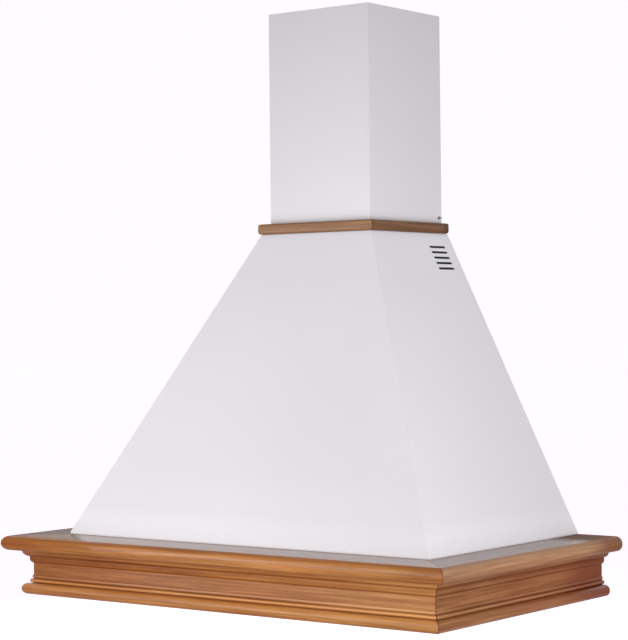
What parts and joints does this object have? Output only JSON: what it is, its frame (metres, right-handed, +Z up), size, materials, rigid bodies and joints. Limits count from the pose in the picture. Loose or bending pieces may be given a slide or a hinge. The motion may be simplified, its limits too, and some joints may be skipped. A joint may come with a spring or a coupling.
{
  "type": "range hood",
  "caption": "Wall chimney range hood: flared white canopy and square chimney on a moulded oak cornice, with grease filters, lamps and a blower inside.",
  "frame": {"origin": "on the wall plane, mid-width, at the underside of the wooden cornice", "axes": "+Z up, +Y into the wall, so the front faces -Y and +X is the hood's right side"},
  "size_m": [0.9508, 0.5594, 1.04],
  "materials": {
    "oak": "satin varnished oak",
    "white_enamel": "smooth white powder coat",
    "zinc_sheet": "galvanised, faint spangle",
    "zinc_screws": "zinc plated",
    "filter_aluminium": "satin mill finish",
    "latch_plastic": "moulded, fine grain",
    "spring_steel": "bright drawn steel",
    "bezel_metal": "satin chrome",
    "reflector_metal": "bright spun",
    "lens_glass": "frosted clear",
    "ceramic": "unglazed ceramic",
    "control_plastic": "white, fine grain",
    "knob_plastic": "black",
    "switch_plastic": "black",
    "fan_plastic": "dark grey moulded",
    "motor_casing": "cast",
    "rubber": "matte",
    "damper_sheet": "mill finish",
    "capacitor_can": "white moulded",
    "gland_plastic": "grey nylon"
  },
  "bodies": {
    "hood": {"shelf_front": "oak", "shelf_left": "oak", "shelf_right": "oak", "frieze_front": "oak", "frieze_left": "oak", "frieze_right": "oak", "trim_front": "oak", "trim_left": "oak", "trim_right": "oak", "canopy": "white_enamel", "chimney_cover": "white_enamel", "underside_pan": "white_enamel", "back_panel": "zinc_sheet", "chimney_lower_bracket": "zinc_sheet", "corner_braces": "zinc_sheet", "blower_bracket_left": "zinc_sheet", "blower_bracket_right": "zinc_sheet", "motor_bracket": "zinc_sheet", "wood_screws": "zinc_screws", "scroll_screws": "zinc_screws", "blower_screws": "zinc_screws", "chimney_screws": "zinc_screws", "lamp_bezel_left": "bezel_metal", "lamp_bezel_right": "bezel_metal", "lamp_reflector_left": "reflector_metal", "lamp_reflector_right": "reflector_metal", "lamp_lens_left": "lens_glass", "lamp_lens_right": "lens_glass", "lamp_bulbs": "lens_glass", "lamp_sockets": "ceramic", "control_plate": "control_plastic", "speed_switch": "switch_plastic", "light_switch": "switch_plastic", "terminal_box": "switch_plastic", "terminal_box_lid": "switch_plastic", "scroll_left": "fan_plastic", "scroll_right": "fan_plastic", "outlet_box": "fan_plastic", "outlet_collar": "fan_plastic", "motor": "motor_casing", "rubber_grommets": "rubber", "capacitor": "capacitor_can", "cable_gland": "gland_plastic"},
    "impeller_rotor": {"impeller": "fan_plastic", "motor_shaft": "spring_steel"},
    "damper_front": {"damper_flap_front": "damper_sheet"},
    "damper_rear": {"damper_flap_rear": "damper_sheet"},
    "upper_chimney": {"chimney_extension": "white_enamel", "chimney_top_bracket": "zinc_sheet"},
    "filter_left": {"filter_frame_left": "filter_aluminium", "filter_mesh_left": "filter_aluminium", "filter_spring_left": "spring_steel"},
    "filter_right": {"filter_frame_right": "filter_aluminium", "filter_mesh_right": "filter_aluminium", "filter_spring_right": "spring_steel"},
    "latch_left": {"filter_latch_left": "latch_plastic"},
    "latch_right": {"filter_latch_right": "latch_plastic"},
    "speed_slider": {"speed_knob": "knob_plastic"},
    "light_slider": {"light_knob": "knob_plastic"}
  },
  "joints": [
    {"name": "impeller_spin", "type": "hinge", "parent": "hood", "child": "impeller_rotor", "pos_m": [0, -0.2, 0.34], "axis": [1, 0, 0], "continuous": true},
    {"name": "damper_front_swing", "type": "hinge", "parent": "hood", "child": "damper_front", "pos_m": [0, -0.116, 0.557], "axis": [-1, 0, 0], "range_deg": [0, 80]},
    {"name": "damper_rear_swing", "type": "hinge", "parent": "hood", "child": "damper_rear", "pos_m": [0, -0.108, 0.557], "axis": [1, 0, 0], "range_deg": [0, 80]},
    {"name": "chimney_extension_slide", "type": "slide", "parent": "hood", "child": "upper_chimney", "axis": [0, 0, 1], "range_m": [0, 0.26]},
    {"name": "filter_left_swing", "type": "hinge", "parent": "hood", "child": "filter_left", "pos_m": [-0.168, -0.09, 0.0235], "axis": [1, 0, 0], "range_deg": [0, 75]},
    {"name": "filter_right_swing", "type": "hinge", "parent": "hood", "child": "filter_right", "pos_m": [0.168, -0.09, 0.0235], "axis": [1, 0, 0], "range_deg": [0, 75]},
    {"name": "latch_left_slide", "type": "slide", "parent": "filter_left", "child": "latch_left", "axis": [0, 1, 0], "range_m": [0, 0.007], "stiffness_N_per_m": 300, "deforming": ["filter_spring_left"]},
    {"name": "latch_right_slide", "type": "slide", "parent": "filter_right", "child": "latch_right", "axis": [0, 1, 0], "range_m": [0, 0.007], "stiffness_N_per_m": 300, "deforming": ["filter_spring_right"]},
    {"name": "speed_slider_slide", "type": "slide", "parent": "hood", "child": "speed_slider", "axis": [1, 0, 0], "range_m": [0, 0.024]},
    {"name": "light_slider_slide", "type": "slide", "parent": "hood", "child": "light_slider", "axis": [1, 0, 0], "range_m": [0, 0.008]}
  ]
}
